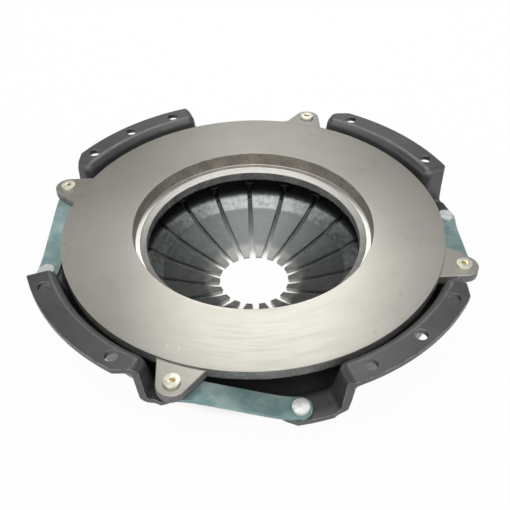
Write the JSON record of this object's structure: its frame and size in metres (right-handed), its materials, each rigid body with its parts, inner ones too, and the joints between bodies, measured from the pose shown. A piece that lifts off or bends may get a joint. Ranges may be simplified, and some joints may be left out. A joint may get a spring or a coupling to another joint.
{
  "type": "clutch pressure plate",
  "caption": "Diaphragm-spring clutch pressure plate: ring-shaped friction face on lugs and leaf straps in a pressed cover with four bolting flanges.",
  "frame": {"origin": "centre of the bolt circle on the face of the cover's flanges that bolts to the flywheel", "axes": "+Z along the clutch axis towards the flywheel, +X and +Y midway between neighbouring flanges"},
  "size_m": [0.3738, 0.3738, 0.0795],
  "materials": {
    "cover_paint": "satin black baked paint on pressed steel",
    "ground_iron": "ground friction face and lugs, rough cast walls",
    "spring_steel": "dark blue-grey shot-peened spring steel",
    "ring_wire": "plain drawn wire",
    "pivot_rivet_steel": "plain steel rivet",
    "strap_steel": "blue-green phosphated spring strip",
    "lug_rivet_zinc": "pale zinc plate with a small copper-coloured centre",
    "strap_rivet_zinc": "pale zinc plate"
  },
  "bodies": {
    "cover": {"cover": "cover_paint", "diaphragm_spring": "spring_steel", "upper_pivot_ring": "ring_wire", "lower_pivot_ring": "ring_wire", "pivot_rivets": "pivot_rivet_steel", "strap_rivet_1": "strap_rivet_zinc", "strap_rivet_2": "strap_rivet_zinc", "strap_rivet_3": "strap_rivet_zinc", "strap_rivet_4": "strap_rivet_zinc", "strap_1_leaf_1": "strap_steel", "strap_1_leaf_2": "strap_steel", "strap_1_leaf_3": "strap_steel", "strap_2_leaf_1": "strap_steel", "strap_2_leaf_2": "strap_steel", "strap_2_leaf_3": "strap_steel", "strap_3_leaf_1": "strap_steel", "strap_3_leaf_2": "strap_steel", "strap_3_leaf_3": "strap_steel", "strap_4_leaf_1": "strap_steel", "strap_4_leaf_2": "strap_steel", "strap_4_leaf_3": "strap_steel"},
    "pressure_plate": {"pressure_plate": "ground_iron", "lug_rivet_1": "lug_rivet_zinc", "lug_rivet_2": "lug_rivet_zinc", "lug_rivet_3": "lug_rivet_zinc", "lug_rivet_4": "lug_rivet_zinc"}
  },
  "joints": [
    {"name": "plate_lift", "type": "slide", "parent": "cover", "child": "pressure_plate", "axis": [0, 0, 1], "range_m": [-0.005, 0], "stiffness_N_per_m": 200000, "springref_m": 0.0005, "deforming": ["diaphragm_spring", "strap_1_leaf_1", "strap_1_leaf_2", "strap_1_leaf_3", "strap_2_leaf_1", "strap_2_leaf_2", "strap_2_leaf_3", "strap_3_leaf_1", "strap_3_leaf_2", "strap_3_leaf_3", "strap_4_leaf_1", "strap_4_leaf_2", "strap_4_leaf_3"]}
  ]
}
